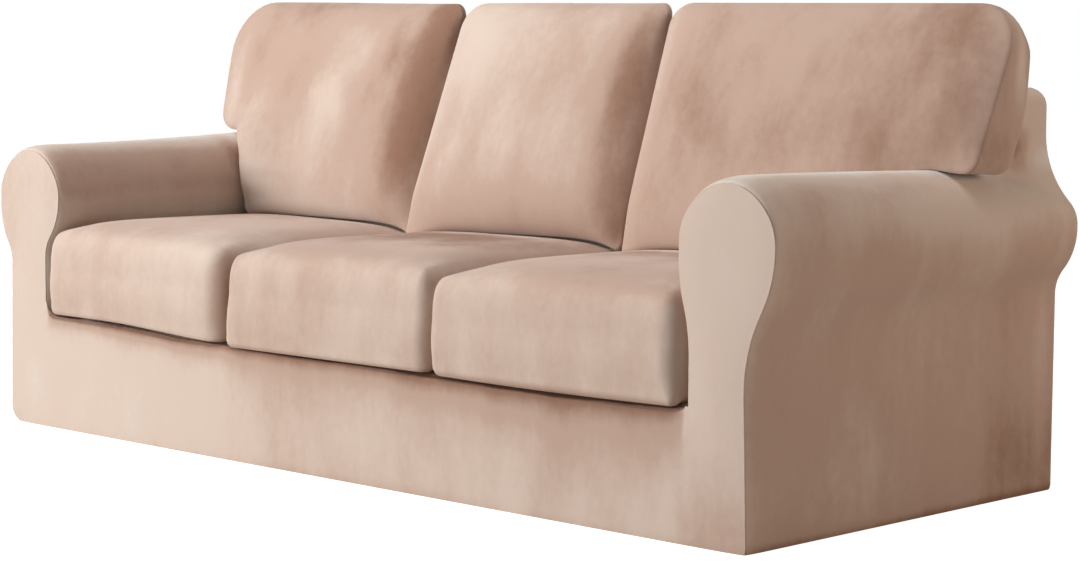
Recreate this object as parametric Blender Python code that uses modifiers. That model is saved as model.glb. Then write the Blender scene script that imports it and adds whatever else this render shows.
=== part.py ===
"""Sofa slipcover: a stretch-velvet base cover and six cushion covers, in the shape they take on
a three-seat sofa with rolled arms. The sofa is left out, so every cover is a hollow shell.

Metres. +X runs along the seat, -Y is the front, +Z is up. The origin is on the floor, under the
middle of the cover. "Left" and "right" are those of a person who faces the sofa.
"""

from math import atan2, cos, exp, hypot, pi, radians, sin, sqrt

import bmesh
import bpy

# Cloth and clearances
CLOTH = 0.002  # thickness of the velvet with its backing
GAP = 0.0003  # between pieces that are sewn together or lie on each other
TOP_GAP = 0.001  # beside the curled edge of the back's side, whose hidden face reaches past it

# Whole cover
DEPTH = 0.90
FRONT_Y = -DEPTH / 2
REAR_Y = DEPTH / 2
DECK_Z = 0.231  # top of the platform under the seat cushions

# Rolled arm, as a half section at x > 0
ROLL_X = 0.982
ROLL_RADIUS = 0.108
ARM_INNER_X = 0.911  # inner face below the roll
INNER_UNDER_ROLL_RADIUS = 0.15
INNER_NECK_RADIUS = 0.08

# The outer side of the arm, at the front and at the rear, where the cloth is pulled in
HEM_X = (1.048, 1.045)
NECK_X = (1.042, 1.043)
UNDER_ROLL_RADIUS = (0.22, 0.125)
NECK_RADIUS = (0.16, 0.04)

# The back: its front face leans, and its sides run down into the rolls without a seam
BACK_SIDE_X = 1.020
BACK_TOP_Z = 0.755
BACK_CORNER_RADIUS = 0.035
BACK_FRONT_EDGE_RADIUS = 0.022
BACK_FOOT_Y = 0.087  # its front face at deck height
BACK_LEAN = 0.373  # how far it leans back for each metre of height
SIDE_FILLET_RADIUS = (0.012, 0.09)  # between roll and back, at its front and at the rear

# Edges beside a flat panel are softly rounded: distance from the panel's face, inset
EDGE_ROWS = (
    (CLOTH + GAP, 0.006),
    (0.007, 0.0018),
    (0.016, 0.0),
)
PANEL_INSET = EDGE_ROWS[0][1]

# name, side, height of the roll's centre at the front, and its rise on the way to the back
ARMS = (
    ("arm_left", -1, 0.501, 0.023),
    ("arm_right", 1, 0.507, -0.006),
)

# Seat cushion covers, which stand a little nearer the left arm: name, middle
SEAT_COVERS = (
    ("left", -0.6085),
    ("middle", -0.009),
    ("right", 0.5905),
)
SEAT_WIDTH = 0.597
SEAT_FRONT_RADIUS = 0.026
SEAT_REAR_RADIUS = 0.030
SEAT_SEAM_Z = 0.405
SEAT_CROWN = 0.041
SEAT_CROWN_REACH = 0.045
SEAT_BACK_CLEARANCE = 0.003
SEAT_EDGE_STEPS = (4, 3, 3, 3)  # front, right, rear, left
SEAT_TOP_INSETS = (0.004, 0.020, 0.055, 0.110, 0.190)
# Rows of the boxing, from the edge that is turned under to the seam: height, inset
SEAT_BAND_ROWS = (
    (DECK_Z + GAP, 0.050),
    (DECK_Z + GAP, 0.012),
    (0.242, 0.0015),
    (0.320, 0.0),
    (SEAT_SEAM_Z, 0.004),
)

# Back cushion covers
BACK_THICKNESS = 0.120
BACK_BOTTOM_Z = 0.4510
BACK_BOTTOM_RADIUS = 0.030
BACK_INNER_X = 0.3035
BACK_INNER_RADIUS = 0.035
ARM_CLEARANCE = 0.006
EAR_NOTCH_RADIUS = ROLL_RADIUS + ARM_CLEARANCE
BACK_OUTER_X = ROLL_X - EAR_NOTCH_RADIUS  # beside the arm, under the ear
EAR_TIP_RADIUS = 0.045
BACK_BULGE = 0.032
BACK_BULGE_REACH = 0.045
BACK_FRONT_INSETS = (0.004, 0.020, 0.050)
BACK_FRONT_SHRINKS = (0.62, 0.30)  # of the last inset loop, towards the middle
# Rows of the boxing, from the edge that is turned behind to the seam: depth, inset
BACK_BAND_ROWS = (
    (BACK_THICKNESS - GAP, 0.050),
    (BACK_THICKNESS - GAP, 0.018),
    (0.102, 0.004),
    (0.030, 0.0),
    (0.0, 0.004),
)
# name, side, top height, height of the ear's underside, ear's x at its foot and at the top, and
# its top corner's radius
BACK_OUTER_COVERS = (
    ("left", -1, 0.930, 0.6345, 1.043, 1.072, 0.125),
    ("right", 1, 0.914, 0.6160, 1.088, 1.084, 0.090),
)
BACK_OUTER_EDGE_STEPS = (3, 1, 2, 2, 4, 4)
BACK_MIDDLE_HALF_WIDTH = 0.3005
BACK_MIDDLE_TOP_Z = 0.922
BACK_MIDDLE_EDGE_STEPS = (3, 4, 3, 4)

# Stretches in each round part
ROLL_STEPS = 6
FILLET_STEPS = 3
CORNER_STEPS = 3
SMALLEST_RADIUS = 0.003

# Velvet, linear colours
VELVET_LIT = (0.58, 0.43, 0.36)
VELVET_SHADED = (0.36, 0.25, 0.20)
VELVET_ROUGHNESS = 0.85

COLLECTION_NAME = "sofa_slipcover"


# ---------------------------------------------------------------------------
# Scene and materials
# ---------------------------------------------------------------------------


def clear_scene():
    for scene_object in list(bpy.data.objects):
        bpy.data.objects.remove(scene_object, do_unlink=True)


def make_collection(name):
    collection = bpy.data.collections.new(name)
    bpy.context.scene.collection.children.link(collection)
    return collection


def make_velvet(name, colour):
    material = bpy.data.materials.new(name)
    material.use_nodes = True
    shader = material.node_tree.nodes["Principled BSDF"]
    shader.inputs["Base Color"].default_value = (*colour, 1.0)
    shader.inputs["Roughness"].default_value = VELVET_ROUGHNESS
    shader.inputs["Metallic"].default_value = 0.0
    return material


# ---------------------------------------------------------------------------
# Outlines
# ---------------------------------------------------------------------------


def between(pair, share):
    """The value between a pair's first (share 0) and second (share 1)."""
    return pair[0] + (pair[1] - pair[0]) * share


def arc(centre, radius, start, end, steps):
    """Points of an arc from one angle to another, both ends included."""
    points = []
    for step in range(steps + 1):
        angle = between((start, end), step / steps)
        points.append((centre[0] + radius * cos(angle), centre[1] + radius * sin(angle)))
    return points


def inset_line(points, inset):
    """An open line moved to its left as it runs. Its ends move only sideways or only down."""
    moved = []
    last = len(points) - 1
    for index, (x, z) in enumerate(points):
        before = points[max(index - 1, 0)]
        after = points[min(index + 1, last)]
        along_x = after[0] - before[0]
        along_z = after[1] - before[1]
        if index in (0, last) and abs(along_z) > abs(along_x):
            along_x = 0.0
        elif index in (0, last):
            along_z = 0.0
        length = hypot(along_x, along_z)
        moved.append((x - along_z / length * inset, z + along_x / length * inset))
    return moved


def rounded_loop(corners, edge_steps, inset):
    """A closed anticlockwise outline with rounded corners, moved inwards by inset.

    corners holds x, y and radius. edge_steps says into how many stretches each straight edge is
    cut, beginning with the edge after the first corner. Every inset gives the same number of
    points, so that such loops can be lofted.
    """
    count = len(corners)
    arcs = []
    for index, (x, y, radius) in enumerate(corners):
        previous_x, previous_y, _ = corners[index - 1]
        next_x, next_y, _ = corners[(index + 1) % count]
        heading_in = atan2(y - previous_y, x - previous_x)
        heading_out = atan2(next_y - y, next_x - x)
        turn = (heading_out - heading_in + pi) % (2 * pi) - pi
        side = 1 if turn > 0 else -1
        # The two edges' inward normals, added, point along the corner's bisector
        bisector_x = -sin(heading_in) - sin(heading_out)
        bisector_y = cos(heading_in) + cos(heading_out)
        spread = 1 + cos(turn)
        inset_radius = max(radius - side * inset, SMALLEST_RADIUS)
        reach = (inset + side * inset_radius) / spread
        centre = (x + bisector_x * reach, y + bisector_y * reach)
        start = heading_in - side * pi / 2
        arcs.append(arc(centre, inset_radius, start, start + turn, CORNER_STEPS))
    loop = []
    for index, steps in enumerate(edge_steps):
        loop += arcs[index]
        first = arcs[index][-1]
        second = arcs[(index + 1) % count][0]
        for step in range(1, steps):
            share = step / steps
            loop.append((between((first[0], second[0]), share), between((first[1], second[1]), share)))
    return loop


def mirrored_corners(corners, edge_steps):
    """The same outline at -x, again anticlockwise, with its edges' steps."""
    count = len(corners)
    flipped = [(-x, z, radius) for x, z, radius in reversed(corners)]
    steps = [edge_steps[(count - 2 - index) % count] for index in range(count)]
    return flipped, steps


# ---------------------------------------------------------------------------
# Cloth
# ---------------------------------------------------------------------------


def add_cloth(name, grids, material, collection, rings=False, centre=None):
    """A sheet of cloth whose outer face is one or more grids that share their common edges.

    A grid is a list of rows of points. With rings, each row closes on itself, and centre is a
    point that closes the last ring with a fan.
    """
    vertices = []
    faces = []
    for rows in grids:
        first = len(vertices)
        size = len(rows[0])
        for row in range(len(rows) - 1):
            for column in range(size if rings else size - 1):
                corner = first + row * size + column
                beside = first + row * size + (column + 1) % size
                faces.append((corner, beside, beside + size, corner + size))
        for row in rows:
            vertices += row
    if centre is not None:
        size = len(grids[-1][-1])
        first = len(vertices) - size
        for column in range(size):
            faces.append((first + column, first + (column + 1) % size, len(vertices)))
        vertices.append(centre)
    mesh = bpy.data.meshes.new(name)
    mesh.from_pydata(vertices, [], faces)
    cloth_mesh = bmesh.new()
    cloth_mesh.from_mesh(mesh)
    bmesh.ops.remove_doubles(cloth_mesh, verts=cloth_mesh.verts, dist=1e-5)
    cloth_mesh.to_mesh(mesh)
    cloth_mesh.free()
    mesh.materials.append(material)
    mesh.shade_smooth()
    cloth = bpy.data.objects.new(name, mesh)
    collection.objects.link(cloth)
    thickness = cloth.modifiers.new("Cloth thickness", "SOLIDIFY")
    thickness.thickness = CLOTH
    thickness.offset = -1.0
    thickness.use_even_offset = True
    return cloth


def add_flat_panel(name, outline, middle_y, material, collection):
    """An upright flat panel with the outline (x, z)."""
    curve = bpy.data.curves.new(name, "CURVE")
    curve.dimensions = "2D"
    curve.fill_mode = "BOTH"
    curve.extrude = CLOTH / 2
    spline = curve.splines.new("POLY")
    spline.points.add(len(outline) - 1)
    for point, (x, z) in zip(spline.points, outline):
        point.co = (x, z, 0.0, 1.0)
    spline.use_cyclic_u = True
    curve.materials.append(material)
    panel = bpy.data.objects.new(name, curve)
    panel.rotation_euler = (radians(90), 0.0, 0.0)
    panel.location = (0.0, middle_y, 0.0)
    collection.objects.link(panel)
    return panel


# ---------------------------------------------------------------------------
# Sections of the arm and the back, at x > 0
# ---------------------------------------------------------------------------


def touching_rise(circle_radius, fillet_radius, sideways):
    """Height between the centres of a circle and a fillet that touches it from outside."""
    return sqrt((circle_radius + fillet_radius) ** 2 - sideways**2)


def roll_end_angle(fillet_radius):
    """Where on the roll the fillet to the back's side begins."""
    sideways = BACK_SIDE_X + fillet_radius - ROLL_X
    return atan2(touching_rise(ROLL_RADIUS, fillet_radius, sideways), sideways)


def outer_line(share, roll_z, fillet_radius):
    """From the hem up the outer side and over the roll. share is 0 at the front, 1 at the rear."""
    neck_x = between(NECK_X, share)
    neck_radius = between(NECK_RADIUS, share)
    under_radius = between(UNDER_ROLL_RADIUS, share)
    under_x = ROLL_X + ROLL_RADIUS - under_radius
    sideways = neck_x + neck_radius - under_x
    drop = touching_rise(under_radius, neck_radius, sideways)
    touch = atan2(drop, sideways)
    neck_centre = (neck_x + neck_radius, roll_z - drop)
    line = [(between(HEM_X, share), 0.0)]
    line += arc(neck_centre, neck_radius, pi, pi - touch, FILLET_STEPS)
    line += arc((under_x, roll_z), under_radius, -touch, 0.0, FILLET_STEPS)[1:]
    line += arc((ROLL_X, roll_z), ROLL_RADIUS, 0.0, roll_end_angle(fillet_radius), ROLL_STEPS)[1:]
    return line


def back_side_line(roll_z, fillet_radius):
    """From the end of the roll up the back's side and round its top corner."""
    touch = roll_end_angle(fillet_radius)
    rise = (ROLL_RADIUS + fillet_radius) * sin(touch)
    fillet_centre = (BACK_SIDE_X + fillet_radius, roll_z + rise)
    corner_centre = (BACK_SIDE_X - BACK_CORNER_RADIUS, BACK_TOP_Z - BACK_CORNER_RADIUS)
    line = arc(fillet_centre, fillet_radius, pi + touch, pi, FILLET_STEPS)
    line += arc(corner_centre, BACK_CORNER_RADIUS, 0.0, pi / 2, CORNER_STEPS)
    return line


def inner_line(roll_z):
    """From the same point of the roll over its crown and down the inner side to the deck."""
    under_x = ROLL_X - ROLL_RADIUS + INNER_UNDER_ROLL_RADIUS
    neck_centre_x = ARM_INNER_X - INNER_NECK_RADIUS
    sideways = under_x - neck_centre_x
    drop = touching_rise(INNER_UNDER_ROLL_RADIUS, INNER_NECK_RADIUS, sideways)
    touch = atan2(drop, sideways)
    start = roll_end_angle(SIDE_FILLET_RADIUS[0])
    line = arc((ROLL_X, roll_z), ROLL_RADIUS, start, pi, ROLL_STEPS)
    line += arc((under_x, roll_z), INNER_UNDER_ROLL_RADIUS, pi, pi + touch, FILLET_STEPS)[1:]
    line += arc((neck_centre_x, roll_z - drop), INNER_NECK_RADIUS, touch, 0.0, FILLET_STEPS)[1:]
    line.append((ARM_INNER_X, DECK_Z + GAP))
    return line


def back_face_y(z):
    """Front face of the back at a height, with its rounded top edge."""
    leaning_y = BACK_FOOT_Y + BACK_LEAN * (z - DECK_Z)
    into_edge = z - (BACK_TOP_Z - BACK_FRONT_EDGE_RADIUS)
    height = min(max(into_edge, 0.0), BACK_FRONT_EDGE_RADIUS)
    return leaning_y + BACK_FRONT_EDGE_RADIUS - sqrt(BACK_FRONT_EDGE_RADIUS**2 - height**2)


def arm_end_y(z):
    """Where the arm's cloth ends in front of the back, so that its hidden face clears it too."""
    return back_face_y(z - CLOTH) - GAP


def arm_outline(roll_z, inset):
    """The arm's front outline, from the hem over the roll to the deck."""
    outer = outer_line(0.0, roll_z, SIDE_FILLET_RADIUS[0])
    return inset_line(outer + inner_line(roll_z)[1:], inset)


def back_outline(roll_z, inset):
    """The rear outline, from the hem over the roll and up to the top of the back."""
    outer = outer_line(1.0, roll_z, SIDE_FILLET_RADIUS[1])
    return inset_line(outer + back_side_line(roll_z, SIDE_FILLET_RADIUS[1])[1:], inset)


# ---------------------------------------------------------------------------
# Base cover
# ---------------------------------------------------------------------------


def edge_stations(panel_y, inwards):
    """Places along Y with their insets, for the rounded edge beside a flat panel."""
    return [(panel_y + inwards * distance, inset) for distance, inset in EDGE_ROWS]


def middle_stations(start_y, end_y, steps):
    """Evenly spaced places after start_y, up to and with end_y."""
    return [(between((start_y, end_y), step / steps), 0.0) for step in range(1, steps + 1)]


def add_arm(name, side, front_roll_z, rise, material, collection):
    """Outer side, roll, inner side and the back's side, in one piece of cloth."""
    split = len(outer_line(0.0, front_roll_z, SIDE_FILLET_RADIUS[0])) - 1
    rear_roll_z = front_roll_z + rise
    meeting_z = rear_roll_z + ROLL_RADIUS * sin(roll_end_angle(SIDE_FILLET_RADIUS[0]))
    meeting_y = arm_end_y(meeting_z)
    front_edge = edge_stations(FRONT_Y, 1)
    rear_edge = edge_stations(REAR_Y, -1)[::-1]
    front_y = front_edge[-1][0]
    rear_y = rear_edge[0][0]
    along_arm = front_edge + middle_stations(front_y, meeting_y, 3)
    along_back = [along_arm[-1]] + middle_stations(meeting_y, rear_y, 3) + rear_edge[1:]

    outer_rows = []
    inner_rows = []
    for y, inset in along_arm:
        reach = max((y - front_y) / (meeting_y - front_y), 0.0)
        roll_z = front_roll_z + rise * reach
        outer = outer_line((y - FRONT_Y) / DEPTH, roll_z, SIDE_FILLET_RADIUS[0])
        outline = inset_line(outer + inner_line(roll_z)[1:], inset)
        outer_rows.append([(x, y, z) for x, z in outline[: split + 1]])
        # The inner side ends at the leaning face of the back, so its columns differ in length
        inner_row = [outer_rows[-1][-1]]
        for x, z in outline[split + 1 :]:
            inner_row.append((x, y + reach * (arm_end_y(z) - meeting_y), z))
        inner_rows.append(inner_row)

    upper_rows = []
    for y, inset in along_back:
        reach = min((y - meeting_y) / (rear_y - meeting_y), 1.0)
        fillet_radius = between(SIDE_FILLET_RADIUS, reach)
        outer = outer_line((y - FRONT_Y) / DEPTH, rear_roll_z, fillet_radius)
        upper = back_side_line(rear_roll_z, fillet_radius)
        outline = inset_line(outer + upper[1:], inset)
        if y > meeting_y:
            outer_rows.append([(x, y, z) for x, z in outline[: split + 1]])
        upper_row = [outer_rows[-1][-1]]
        for x, z in outline[split + 1 :]:
            upper_row.append((x, y + (1 - reach) * (back_face_y(z) - meeting_y), z))
        upper_rows.append(upper_row)

    grids = [outer_rows, inner_rows, upper_rows]
    if side > 0:
        grids = [[row[::-1] for row in rows] for rows in grids]
    grids = [[[(side * x, y, z) for x, y, z in row] for row in rows] for rows in grids]
    return add_cloth(name, grids, material, collection)


def add_mirrored_panel(name, left, right, middle_y, material, collection):
    """A flat panel from the half outline of each side, both given at x > 0."""
    outline = [(-x, z) for x, z in left] + right[::-1]
    return add_flat_panel(name, outline[::-1], middle_y, material, collection)


def add_front_panel(material, collection):
    """Both arm faces and the rail between them, cut in one piece."""

    halves = [arm_outline(front_roll_z, PANEL_INSET) for _, _, front_roll_z, _ in ARMS]
    middle_y = FRONT_Y + CLOTH / 2
    return add_mirrored_panel("front_panel", *halves, middle_y, material, collection)


def add_outside_back(material, collection):
    """The flat rear panel, from the hem to the top of the back."""

    halves = [back_outline(roll_z + rise, PANEL_INSET) for _, _, roll_z, rise in ARMS]
    middle_y = REAR_Y - CLOTH / 2
    return add_mirrored_panel("outside_back", *halves, middle_y, material, collection)


def add_deck(material, collection):
    """The flat platform under the seat cushions."""
    half_width = ARM_INNER_X + CLOTH
    ends = (FRONT_Y + CLOTH + GAP, BACK_FOOT_Y - GAP)
    rows = [[(-half_width, y, DECK_Z), (half_width, y, DECK_Z)] for y in ends]
    return add_cloth("deck", [rows], material, collection)


def add_inside_back(material, collection):
    """Front face of the back between and above the arms, and its top."""
    roll_heights = [front_roll_z + rise for _, _, front_roll_z, rise in ARMS]
    beside_arm = [(x + CLOTH, z) for x, z in inner_line(min(roll_heights))[:0:-1]]
    side_foot_z = max(roll_heights) + ROLL_RADIUS
    corner_centre = (BACK_SIDE_X - BACK_CORNER_RADIUS, BACK_TOP_Z - BACK_CORNER_RADIUS)
    corner_radius = BACK_CORNER_RADIUS - CLOTH - GAP
    above_arm = [(corner_centre[0] + corner_radius, side_foot_z)]
    above_arm += arc(corner_centre, corner_radius, 0.0, pi / 2, CORNER_STEPS)
    rows = [(half_width, back_face_y(z), z) for half_width, z in beside_arm + above_arm]
    top_half_width = corner_centre[0] - TOP_GAP
    rows[-1] = (top_half_width, rows[-1][1], rows[-1][2])
    rows.append((top_half_width, back_face_y(BACK_TOP_Z), BACK_TOP_Z))
    for y, inset in edge_stations(REAR_Y, -1)[::-1]:
        rows.append((top_half_width, y, BACK_TOP_Z - inset))
    columns = (-1.0, -0.5, 0.0, 0.5, 1.0)
    grid = [[(column * half_width, y, z) for column in columns] for half_width, y, z in rows]
    return add_cloth("inside_back", [grid], material, collection)


# ---------------------------------------------------------------------------
# Seat cushion covers
# ---------------------------------------------------------------------------


def seat_ring(middle_x, z, inset, face_z):
    """A level ring of a seat cover. Its rear follows the back at the height face_z."""
    half_width = SEAT_WIDTH / 2
    rear_y = back_face_y(face_z) - SEAT_BACK_CLEARANCE
    corners = (
        (-half_width, FRONT_Y, SEAT_FRONT_RADIUS),
        (half_width, FRONT_Y, SEAT_FRONT_RADIUS),
        (half_width, rear_y, SEAT_REAR_RADIUS),
        (-half_width, rear_y, SEAT_REAR_RADIUS),
    )
    loop = rounded_loop(corners, SEAT_EDGE_STEPS, inset)
    return [(middle_x + x, y, z) for x, y in loop]


def add_seat_band(name, middle_x, material, collection):
    """Front, sides and rear in one strip, with its elastic edge turned under."""
    rows = [seat_ring(middle_x, z, inset, z) for z, inset in SEAT_BAND_ROWS]
    return add_cloth(f"seat_band_{name}", [rows], material, collection, rings=True)


def add_seat_top(name, middle_x, material, collection):
    """The crowned top panel, which sits on the boxing's upper edge."""
    edge_z = SEAT_SEAM_Z + CLOTH + 2 * GAP
    rows = []
    for inset in SEAT_TOP_INSETS:
        distance = inset - SEAT_TOP_INSETS[0]
        z = edge_z + SEAT_CROWN * (1 - exp(-distance / SEAT_CROWN_REACH))
        rows.append(seat_ring(middle_x, z, inset, SEAT_SEAM_Z))
    middle_y = (FRONT_Y + back_face_y(SEAT_SEAM_Z)) / 2
    centre = (middle_x, middle_y, edge_z + SEAT_CROWN)
    return add_cloth(f"seat_top_{name}", [rows], material, collection, rings=True, centre=centre)


# ---------------------------------------------------------------------------
# Back cushion covers
# ---------------------------------------------------------------------------


def back_seam_y(z):
    """The leaning plane of the seam between a back cover's front and its boxing."""
    return BACK_FOOT_Y + BACK_LEAN * (z - DECK_Z) - BACK_THICKNESS


def outer_cover_corners(side, top_z, ear_z, ear_foot_x, ear_top_x, top_radius):
    """Outline of a back cushion with an ear over the arm: corners and their edges' steps."""
    corners = (
        (BACK_INNER_X, BACK_BOTTOM_Z, BACK_BOTTOM_RADIUS),
        (BACK_OUTER_X, BACK_BOTTOM_Z, BACK_BOTTOM_RADIUS),
        (BACK_OUTER_X, ear_z, EAR_NOTCH_RADIUS),
        (ear_foot_x, ear_z, EAR_TIP_RADIUS),
        (ear_top_x, top_z, top_radius),
        (BACK_INNER_X, top_z, BACK_INNER_RADIUS),
    )
    if side < 0:
        return mirrored_corners(corners, BACK_OUTER_EDGE_STEPS)
    return corners, BACK_OUTER_EDGE_STEPS


def middle_cover_corners():
    """Outline of the middle back cushion: corners and their edges' steps."""
    half_width = BACK_MIDDLE_HALF_WIDTH
    corners = (
        (-half_width, BACK_BOTTOM_Z, BACK_BOTTOM_RADIUS),
        (half_width, BACK_BOTTOM_Z, BACK_BOTTOM_RADIUS),
        (half_width, BACK_MIDDLE_TOP_Z, BACK_INNER_RADIUS),
        (-half_width, BACK_MIDDLE_TOP_Z, BACK_INNER_RADIUS),
    )
    return corners, BACK_MIDDLE_EDGE_STEPS


def add_back_band(name, corners, edge_steps, material, collection):
    """The boxing, with its elastic edge turned behind the cushion."""
    rows = []
    for depth, inset in BACK_BAND_ROWS:
        loop = rounded_loop(corners, edge_steps, inset)
        rows.append([(x, back_seam_y(z) + depth, z) for x, z in loop])
    return add_cloth(f"back_band_{name}", [rows], material, collection, rings=True)


def add_back_front(name, corners, edge_steps, material, collection):
    """The crowned front panel, ear included, which sits on the boxing's front edge."""
    edge_depth = -CLOTH - 2 * GAP
    rows = []
    for inset in BACK_FRONT_INSETS:
        distance = inset - BACK_FRONT_INSETS[0]
        depth = edge_depth - BACK_BULGE * (1 - exp(-distance / BACK_BULGE_REACH))
        loop = rounded_loop(corners, edge_steps, inset)
        rows.append([(x, back_seam_y(z) + depth, z) for x, z in loop])
    middle_x = (corners[0][0] + corners[1][0]) / 2
    middle_z = (min(z for _, z, _ in corners) + max(z for _, z, _ in corners)) / 2
    full_depth = edge_depth - BACK_BULGE
    for shrink in BACK_FRONT_SHRINKS:
        row = []
        for x, z in loop:
            inner_x = between((middle_x, x), shrink)
            inner_z = between((middle_z, z), shrink)
            row.append((inner_x, back_seam_y(inner_z) + between((full_depth, depth), shrink), inner_z))
        rows.append(row)
    centre = (middle_x, back_seam_y(middle_z) + full_depth, middle_z)
    return add_cloth(f"back_front_{name}", [rows], material, collection, rings=True, centre=centre)


# ---------------------------------------------------------------------------
# Everything
# ---------------------------------------------------------------------------


def build():
    clear_scene()
    collection = make_collection(COLLECTION_NAME)
    lit = make_velvet("velvet", VELVET_LIT)
    shaded = make_velvet("velvet_side", VELVET_SHADED)

    add_front_panel(lit, collection)
    add_outside_back(lit, collection)
    add_deck(shaded, collection)
    add_inside_back(shaded, collection)
    for name, side, front_roll_z, rise in ARMS:
        add_arm(name, side, front_roll_z, rise, shaded, collection)

    for name, middle_x in SEAT_COVERS:
        add_seat_band(name, middle_x, lit, collection)
        add_seat_top(name, middle_x, lit, collection)

    back_outlines = {"middle": middle_cover_corners()}
    for name, side, *sizes in BACK_OUTER_COVERS:
        back_outlines[name] = outer_cover_corners(side, *sizes)
    for name, (corners, edge_steps) in back_outlines.items():
        add_back_band(name, corners, edge_steps, lit, collection)
        add_back_front(name, corners, edge_steps, lit, collection)


build()
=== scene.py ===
"""Three-seat sofa slipcover in stretch velvet, as it sits on the sofa.

The set is a base cover, three seat cushion covers and three back cushion covers. Each piece here
is a thin shell of cloth that stands for its CAD nodes. All sizes are in metres,
apart from the strokes that paint light and shade into the velvet's colour.
"""

from math import atan2, cos, pi, sin, sqrt

import bpy
import numpy as np
from mathutils import Matrix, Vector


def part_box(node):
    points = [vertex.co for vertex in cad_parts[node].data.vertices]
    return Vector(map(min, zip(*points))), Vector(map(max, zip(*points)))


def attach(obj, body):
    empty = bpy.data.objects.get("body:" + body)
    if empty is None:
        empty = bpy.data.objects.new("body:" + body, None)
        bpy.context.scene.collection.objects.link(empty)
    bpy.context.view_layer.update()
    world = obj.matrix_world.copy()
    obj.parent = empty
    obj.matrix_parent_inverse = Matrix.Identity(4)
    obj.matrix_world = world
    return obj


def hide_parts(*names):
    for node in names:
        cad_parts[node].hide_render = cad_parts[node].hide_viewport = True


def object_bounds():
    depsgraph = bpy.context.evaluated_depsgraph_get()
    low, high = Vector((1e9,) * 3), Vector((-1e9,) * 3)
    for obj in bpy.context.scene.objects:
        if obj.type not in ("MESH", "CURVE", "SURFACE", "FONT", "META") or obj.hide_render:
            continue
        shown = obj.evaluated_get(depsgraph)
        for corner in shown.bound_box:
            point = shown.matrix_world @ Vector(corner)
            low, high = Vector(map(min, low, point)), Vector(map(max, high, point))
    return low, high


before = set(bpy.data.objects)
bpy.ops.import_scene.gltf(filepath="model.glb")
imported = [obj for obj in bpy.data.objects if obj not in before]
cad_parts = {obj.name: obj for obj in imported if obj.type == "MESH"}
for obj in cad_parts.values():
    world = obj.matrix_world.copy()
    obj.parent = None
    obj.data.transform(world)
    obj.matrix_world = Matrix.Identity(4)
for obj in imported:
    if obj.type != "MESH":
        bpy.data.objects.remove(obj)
CAD_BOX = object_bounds()
scene = bpy.context.scene

# --- Sizes read from the frame ---

FRONT_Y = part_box("front_panel")[0][1]
REAR_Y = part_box("outside_back")[1][1]
DECK_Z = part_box("deck")[1][2]
BACK_TOP_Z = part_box("inside_back")[1][2]
DEPTH = REAR_Y - FRONT_Y

CLOTH = 0.0022  # thickness of the velvet
GAP = 0.0003
WELD_DISTANCE = 0.00005
CUT_EDGE_ANGLE = 0.9  # edges of the cloth that turn more than this are left crisp

# --- Shape of the base cover ---

# Half section of each rolled arm, at x > 0. A pair holds the value at the front and at the rear.
ARMS = {
    "left": {
        "side": -1, "roll_x": 0.9777, "roll_radius": 0.1115, "roll_z": (0.498, 0.5225),
        "belly": (0.022, 0.007), "under_radius": (0.15, 0.125), "neck_x": (1.049, 1.0435),
        "neck_radius": (0.05, 0.07), "hem_x": (1.056, 1.045), "hem_radius": (0.032, 0.01),
        "inner_x": 0.9165, "inner_belly": 0, "inner_under_radius": 0.13, "inner_neck_radius": 0.06,
    },
    "right": {
        "side": 1, "roll_x": 0.9885, "roll_radius": 0.1045, "roll_z": (0.511, 0.5025),
        "belly": (0.01, 0.007), "under_radius": (0.22, 0.125), "neck_x": (1.0325, 1.0435),
        "neck_radius": (0.27, 0.07), "hem_x": (1.041, 1.044), "hem_radius": (0.0025, 0.003),
        "inner_x": 0.9085, "inner_belly": 0.03, "inner_under_radius": 0.3,
        "inner_neck_radius": 0.3,
    },
}
INNER_BELLY_REACH = 0.05
ROLL_RISE_POWER = 1.6
ROLL_NARROWING_POWER = 1.7
REAR_ROLL_X = 1.027
REAR_ROLL_RADIUS = 0.061
BACK_SIDE_X = 1.016
BACK_CORNER_RADIUS = 0.035
BACK_CORNER_CENTRE = (BACK_SIDE_X - BACK_CORNER_RADIUS, BACK_TOP_Z - BACK_CORNER_RADIUS)
BACK_FRONT_EDGE_RADIUS = 0.022
BACK_FOOT_Y = 0.087
BACK_LEAN = 0.373
SIDE_FILLET_RADIUS = (0.012, 0.18)
# How far the seams of the flat front and rear panels lie inside the widest outline
SIDE_INSET = {"front": 0.0035, "rear": 0.002}
TOP_INSET = {"front": 0.0115, "rear": 0.003}
EDGE_DEPTH = {"front": 0.06, "rear": 0.016}
PANEL_DOME = {"front": (0.004, 0.03), "rear": (0.003, 0.05)}  # height and reach from the rim

# Seat covers. "sides" moves the left and right side in x, "lean" moves the left side in x above
# the boxing, "ends" is the height of the lowest edge at either end, eased between two shares of
# the width, "sag" lowers its middle, "radii" and "low_radii" round the front corners above and
# at the foot, "corner" lowers the crown's left front corner, "crest" adds to the crown and "lip"
# is how large the roll of the lowest edge is.
SEATS = {
    "left": {
        "sides": (0.0118, 0), "lean": 0, "ends": (0.2472, 0.2322), "sag": 0, "eased": (0.3, 1.05),
        "radii": (0.023, 0.047), "corner": -0.004, "crest": (0.0085, 0.0005), "lip": 0.9,
    },
    "middle": {
        "sides": (0.0095, 0), "lean": 0.0105, "ends": (0.2276, 0.2288), "sag": 0, "eased": (0, 1),
        "radii": (0.025, 0.027), "corner": 0.0025, "crest": (-0.0015, 0), "lip": 1,
    },
    "right": {
        "sides": (0.0022, -0.002), "lean": 0, "ends": (0.2265, 0.228), "sag": 0.003,
        "eased": (0, 1), "radii": (0.03, 0.034), "low_radii": (0.03, 0.013), "corner": 0.006,
        "crest": (-0.0068, 0), "lip": 1.4,
    },
}
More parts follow.
